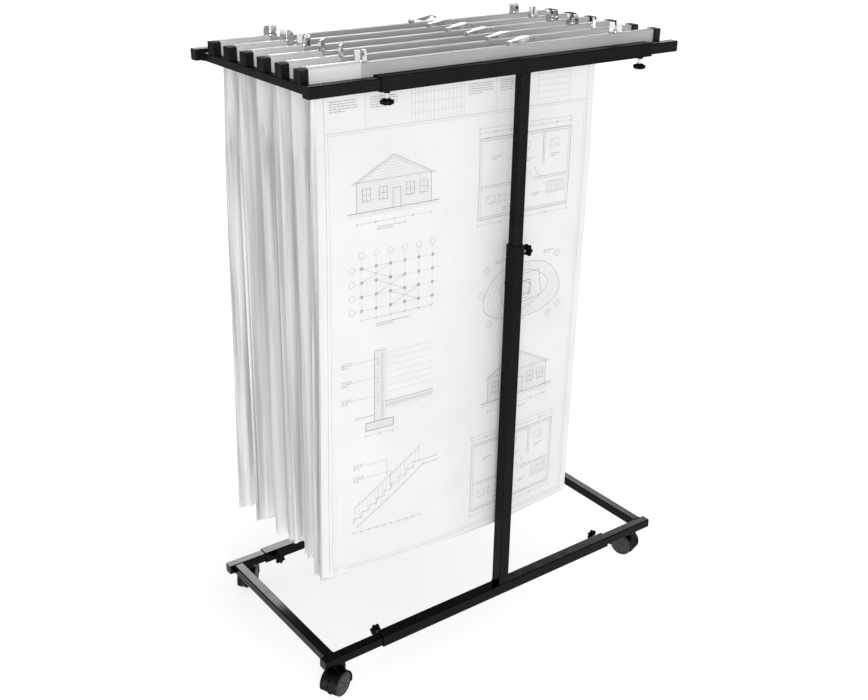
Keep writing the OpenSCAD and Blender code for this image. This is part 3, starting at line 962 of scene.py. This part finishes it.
def draw_notes(d, u, v, rows, wide, seed):
    """A note block shown only as rows of short strokes."""
    rng = random.Random(seed)
    for row in range(rows):
        x, end = u, u + wide * (1 if row < rows - 1 else 0.55)
        while x < end - 2:
            step = rng.uniform(2.5, 8.0)
            d.line((x, v + NOTE_LEAD * row), (min(x + step, end), v + NOTE_LEAD * row), width=NOTE)
            x += step + 1.8


def draw_leader(d, u0, v0, u1, v1, seed):
    """A leader from a note to what it points at, with a tick at its end."""
    d.line((u0, v0), (u1, v0), (u1, v1), width=FINE)
    d.line((u1 - 1.6, v1 - 2.6), (u1, v1), (u1 + 1.6, v1 - 2.6), width=FINE)
    draw_notes(d, u0 - 26, v0 - 4, 3, 23, seed)


def draw_border(d):
    d.box(16, 34, 594, 940, FINE)
    d.box(22, 104, 588, 934, FAINT)
    d.line((16, 100), (594, 100), width=FINE)
    for u in (96, 188, 300, 372, 470, 548):
        d.line((u, 34), (u, 100))
    d.ladder(188, 34, 300, 100, 14)
    d.ladder(188, 34, 300, 100, 4, upright=False)
    d.ladder(470, 34, 548, 100, 6, upright=False)
    for k, u in enumerate((26, 106, 310, 382)):
        draw_notes(d, u, 48, 5, 54, 70 + k)


def draw_floor_plan(d):
    """A small house plan with double walls, door swings and a stair."""
    wide, deep, wall = 220, 150, 5
    d.box(0, 0, wide, deep, MAIN)
    d.box(wall, wall, wide - wall, deep - wall, FINE)
    for x in (84, 152):
        d.line((x, wall), (x, 66), width=MAIN)
        d.line((x + 4, wall), (x + 4, 66), width=FINE)
    for y in (88, 92):
        d.line((wall, y), (104, y), width=MAIN if y == 88 else FINE)
        d.line((132, y), (wide - wall, y), width=MAIN if y == 88 else FINE)
    for x, y, start in ((104, 90, -90), (84, 66, 0), (156, 66, 90)):
        d.arc(x, y, 22, start, start + 90, width=FINE)
    d.ladder(164, 100, 210, 122, 10, width=FINE)
    d.box(164, 100, 210, 122, FINE)
    d.hatch(0, 0, wide, wall, 5)
    d.hatch(0, deep - wall, wide, deep, 5)
    for x, y in ((18, 108), (46, 108), (100, 18), (170, 20)):
        d.box(x, y, x + 20, y + 14, FINE)
        d.line((x, y), (x + 20, y + 14))
    for x, y in ((30, 36), (108, 50), (172, 48), (60, 134), (130, 118)):
        draw_notes(d, x, y, 2, 22, int(x * 7 + y))
    d.dimension(0, wide, -10, 6)
    d.dimension(0, wide, -18, 2)
    d.dimension(0, wide, deep + 10, 4)


def draw_elevation(d):
    """A street front: gable, boarding, windows, door and ground line."""
    wide = 190
    d.line((0, 92), (wide, 92), width=HEAVY)
    d.box(18, 40, 172, 92, MAIN)
    d.line((8, 43), (95, 0), (182, 43), width=MAIN)
    d.line((13, 44), (95, 4), (177, 44), width=FINE)
    for k in range(1, 9):
        inset = 10 * k
        d.line((15 + inset, 42 - 4.9 * k), (175 - inset, 42 - 4.9 * k))
    for k in range(1, 13):
        d.line((18, 40 + 4 * k), (172, 40 + 4 * k))
    for x in (30, 64, 120, 148):
        d.box(x, 52, x + 16, 74, MAIN)
        d.line((x + 8, 52), (x + 8, 74), width=FINE)
        d.line((x, 63), (x + 16, 63), width=FINE)
    d.box(92, 58, 108, 92, MAIN)
    d.hatch(0, 93, wide, 100, 4)
    d.dimension(18, 172, 112, 4)
    draw_notes(d, 60, 122, 2, 60, 31)


def draw_section(d):
    """A wall on its footing with its layers, the ground beside it, levels and leaders."""
    d.box(40, 0, 56, 140, MAIN)
    for k in range(1, 18):
        d.line((40, 7.8 * k), (56, 7.8 * k))
    d.hatch(40, 0, 56, 140, 6)
    d.box(59, 0, 63, 140, FINE)
    d.box(22, 140, 80, 156, HEAVY)
    d.hatch(22, 140, 80, 156, 4)
    for y, width in ((104, MAIN), (110, FINE), (113, MAIN)):
        d.line((63, y), (168, y), width=width)
    d.hatch(63, 104, 168, 110, 5)
    for x in range(70, 165, 9):
        d.arc(x, 117 + 2 * (x % 2), 2.4)
    for k in range(7):
        y = 12 + 13 * k
        d.line((64, y), (72, y - 4), (168, y - 4))
    d.line((0, 126), (40, 126), width=MAIN)
    for x in range(2, 40, 5):
        d.line((x, 126), (x - 4, 131))
    for k, y in enumerate((16, 52, 88)):
        draw_leader(d, -2, y, 48, y + 12, 90 + k)
    d.dimension(22, 80, 166, 2)


def draw_site(d):
    """Contours round a plot, with tree rings."""
    for k in range(9):
        r = 96 - 9 * k
        ring = [(110 + (r + 7 * math.sin(3 * a + 0.5 * k)) * math.cos(a),
                 78 + 0.62 * (r + 6 * math.cos(2 * a + 0.5 * k)) * math.sin(a))
                for a in np.linspace(0, math.tau, 44)]
        d.line(*ring, width=MAIN if k % 4 == 0 else FAINT)
    d.line((64, 52), (150, 42), (160, 96), (74, 108), (64, 52), width=MAIN)
    d.box(88, 60, 130, 88, HEAVY)
    d.hatch(88, 60, 130, 88, 5)
    for x, y in ((20, 22), (30, 132), (196, 18), (204, 126), (180, 140), (8, 70)):
        d.arc(x, y, 7, width=FINE)
        d.arc(x, y, 4)
    for k, (x, y) in enumerate(((160, 8), (40, 8), (90, 138))):
        draw_notes(d, x, y, 2, 30, 50 + k)


def draw_column_grid(d):
    """Structural grid with a bubble at each line's end."""
    for k in range(6):
        x = 30 * k
        d.line((x, 6), (x, 112))
        d.arc(x, 0, 5.5, width=FINE)
    for k in range(4):
        y = 24 + 26 * k
        d.line((-14, y), (164, y))
        d.arc(-20, y, 5.5, width=FINE)
        for j in range(6):
            d.box(30 * j - 2, y - 2, 30 * j + 2, y + 2, HEAVY)
    for k in range(3):
        y = 24 + 26 * k
        d.line((30 * k, y), (30 * k + 60, y + 26), width=FINE)
        d.line((30 * k + 60, y), (30 * k, y + 26), width=FINE)
    d.dimension(0, 150, 120, 5)
    draw_notes(d, 30, 132, 2, 70, 21)


def draw_stair_detail(d):
    """A flight of steps in section with its rail, landing and hatched soffit."""
    points = [(0, 104)]
    for k in range(9):
        x, y = points[-1]
        points += [(x, y - 11), (x + 16, y - 11)]
    d.line(*points, width=MAIN)
    d.line((6, 114), (150, 15), (184, 15), width=MAIN)
    d.line((144, 5), (184, 5), width=MAIN)
    for k in range(30):
        x, y = 6 + 5 * k, 112 - 3.45 * k
        d.line((x, y), (x + 3, y - 5))
    for shift, width in ((0, FINE), (2.4, FAINT)):
        d.line((0, 70 + shift), (144, -29 + shift), width=width)
    for k in range(18):
        x, y = 8 * k + 4, 101 - 5.5 * k
        d.line((x, y), (x, y - 33))
    d.dimension(0, 144, 124, 9)
    for k, y in enumerate((8, 34)):
        draw_leader(d, 26, y - 24, 70 + 8 * k, y + 8, 60 + k)


# The views on the front sheet, and where each one's origin is
VIEWS = ((draw_border, 0, 0), (draw_floor_plan, 336, 146), (draw_elevation, 56, 148),
         (draw_column_grid, 84, 316), (draw_section, 70, 500), (draw_stair_detail, 66, 742),
         (draw_site, 344, 376), (draw_elevation, 356, 580), (draw_floor_plan, 336, 756))


def plan_drawing():
    d = Drawing()
    for draw, u, v in VIEWS:
        d.origin = (u, v)
        draw(d)
    return d


def make_drawing(pack, drawing, ink):
    """The strokes as flat ribbons that follow the front leaf, just proud of it."""
    verts, faces = [], []
    for stroke, width in drawing.strokes:
        for (u0, v0), (u1, v1) in zip(stroke, stroke[1:]):
            length = math.hypot(u1 - u0, v1 - v0)
            if length < 1e-6:
                continue
            steps = max(1, int(length / INK_STEP))
            nu, nv = -(v1 - v0) / length * width / 2, (u1 - u0) / length * width / 2
            t = np.linspace(0, 1, steps + 1)
            u, v = u0 + (u1 - u0) * t, v0 + (v1 - v0) * t
            edges = [pack.points(0, u + nu, v + nv, INK_LIFT), pack.points(0, u - nu, v - nv, INK_LIFT)]
            base = len(verts)
            verts += [tuple(p) for p in np.concatenate(edges)]
            faces += [(k, k + 1, k + steps + 2, k + steps + 1) for k in range(base, base + steps)]
    add_piece("plan_lines", verts, faces, ink, "clamp_1", "paper", smooth=False)


def make_plans(paper, painted_shade_paper, ink):
    for i in CLAMPS:
        pack = Pack(i)
        # The leaves behind the front sheet get the paper with painted shade.
        leaves = [make_leaf(pack, k, painted_shade_paper if i > 1 or k else paper) for k in range(pack.count)]
        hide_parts("plans_%d" % i)
        if i == 1:
            make_drawing(pack, plan_drawing(), ink)


# --- Stage ---

def area_light(name, place, target, size, power, gloss_only=False):
    """A soft box; one for gloss only shows in shiny surfaces and leaves matt ones alone."""
    data = bpy.data.lights.new(name, "AREA")
    data.shape = "RECTANGLE"
    data.size, data.size_y = size
    data.energy = power
    lamp = bpy.data.objects.new(name, data)
    lamp.visible_diffuse = not gloss_only
    show(lamp)
    aim = (Vector(target) - Vector(place)).to_track_quat("-Z", "Y")
    lamp.matrix_world = Matrix.Translation(Vector(place)) @ aim.to_matrix().to_4x4()


# Brightness of the sky at heights from the horizon (0) to straight up (1)
SKY = ((0.0, 1.06), (0.1, 1.0), (0.28, 0.55), (0.5, 0.24), (0.9, 0.22))
# The floor's half width in metres, its own brightness far away, and how much less that is under the rack: a
# painted shadow, with its centre and its reach in metres
FLOOR_REACH = 60.0
FLOOR_GLOW = 0.93
PAINTED_SHADOW_DEPTH = 0.25
PAINTED_SHADOW_CENTER = (-0.15, 0.15, 0.0)
PAINTED_SHADOW_REACH = 0.9
FRONT_POWER = 54
OVERHEAD_POWER = 6
STRIP_POWER = 190
SIDE_STRIP_POWER = 88


def make_world():
    """A studio that is white at the horizon and dim overhead."""
    world = bpy.data.worlds.new("studio")
    world.use_nodes = True
    tree = world.node_tree
    place = tree.nodes.new("ShaderNodeTexCoord")
    parts = tree.nodes.new("ShaderNodeSeparateXYZ")
    ramp = tree.nodes.new("ShaderNodeValToRGB")
    ramp.color_ramp.interpolation = "EASE"
    stops = ramp.color_ramp.elements
    while len(stops) < len(SKY):
        stops.new(0.5)
    for stop, (height, value) in zip(stops, SKY):
        stop.position = height
        stop.color = (value, value, value, 1.0)
    tree.links.new(place.outputs["Generated"], parts.inputs["Vector"])
    tree.links.new(parts.outputs["Z"], ramp.inputs["Fac"])
    tree.links.new(ramp.outputs["Color"], tree.nodes["Background"].inputs["Color"])
    bpy.context.scene.world = world


def make_stage():
    """A white floor that runs on into the background, with a painted shadow where its glow dips under the
    rack, and soft studio light.
    """
    s = Surface("stage_white", (0.6, 0.6, 0.6), 0.9, specular=0.0)
    s.color(s.ramp(s.noise(2, 2), (0.59, 0.59, 0.59), (0.61, 0.61, 0.61)))
    s.set("Emission Color", (1.0, 1.0, 1.0, 1.0))
    # Painted shadow: the floor's glow falls off towards a point under the rack.
    away = s.add("ShaderNodeVectorMath", operation="DISTANCE")
    away.inputs[1].default_value = PAINTED_SHADOW_CENTER
    s.link(s.place, away.inputs[0])
    glow_with_painted_shadow = s.add("ShaderNodeMapRange", interpolation_type="SMOOTHSTEP")
    for socket, value in (("From Max", PAINTED_SHADOW_REACH), ("To Min", FLOOR_GLOW - PAINTED_SHADOW_DEPTH),
                          ("To Max", FLOOR_GLOW)):
        glow_with_painted_shadow.inputs[socket].default_value = value
    s.link(away.outputs["Value"], glow_with_painted_shadow.inputs["Value"])
    s.link(glow_with_painted_shadow.outputs["Result"], s.shader.inputs["Emission Strength"])
    corners = [(x * FLOOR_REACH, y * FLOOR_REACH, 0) for x, y in ((-1, -1), (1, -1), (1, 1), (-1, 1))]
    data = bpy.data.meshes.new("floor")
    data.from_pydata(corners, [], [(0, 1, 2, 3)])
    data.materials.append(s.material)
    floor = bpy.data.objects.new("floor", data)
    show(floor)
    make_world()
    area_light("front", (-2.4, -3.8, 1.9), (-0.1, 0, 0.6), (2.0, 2.0), FRONT_POWER)
    area_light("overhead", (-0.3, 0.2, 3.9), (0, 0, 1.0), (3.0, 3.0), OVERHEAD_POWER)
    area_light("back_strip", (0.85, 4.43, 2.9), (-0.4, 0.1, 0.1), (2.7, 1.23), STRIP_POWER, gloss_only=True)
    area_light("side_strip", (3.8, 4.4, 2.95), (0.4, 0.1, 0.1), (3.2, 1.35), SIDE_STRIP_POWER,
               gloss_only=True)


# --- The scene ---


def main():
    make_camera()
    # Three copies of the one black powder coat, each with its own tone, glancing sheen, roughness and metal
    # share, set for how light falls on the base, the upper tees and the upper ends: painted shade and painted
    # sheen.
    base_coat_light_tuned = powder_coat("base_coat_light_tuned", 0.0115, 0.8, 0.17, metallic=1.0)
    top_coat_light_tuned = powder_coat("top_coat_light_tuned", 0.0155, 0.36, 0.26, metallic=0.5)
    end_coat = powder_coat("end_coat", 0.0165, 0.65, 0.26, metallic=0.5)
    hook_plastic = moulded_black("hook_plastic", 0.5, 0.032, 0.36)
    knob_plastic = moulded_black("knob_plastic", 0.4, 0.014, 0.2)
    caster_plastic = moulded_black("caster_plastic", 0.36, 0.026, 0.4)
    aluminium = satin_aluminium()
    chrome = chrome_with_painted_reflections()
    zinc = zinc_screw()

    paints = {"base_tees": base_coat_light_tuned, "base_end": base_coat_light_tuned, "top_tees": top_coat_light_tuned, "top_end": end_coat,
              "caster_body": caster_plastic, "clamp_bar": aluminium, "clamp_hooks": hook_plastic}
    for node in frame["nodes"]:
        for start, material in paints.items():
            if node.startswith(start):
                paint_node(node, material)

    make_welds(base_coat_light_tuned, top_coat_light_tuned)
    make_star_knobs(knob_plastic, zinc)
    make_wing_screws(chrome)
    make_levers(pressed_steel())
    make_labels(label_plastic())
    make_wheels(wheel_rubber())
    make_plans(plan_paper(), shaded_pack_paper(), plot_ink())
    make_stage()


main()
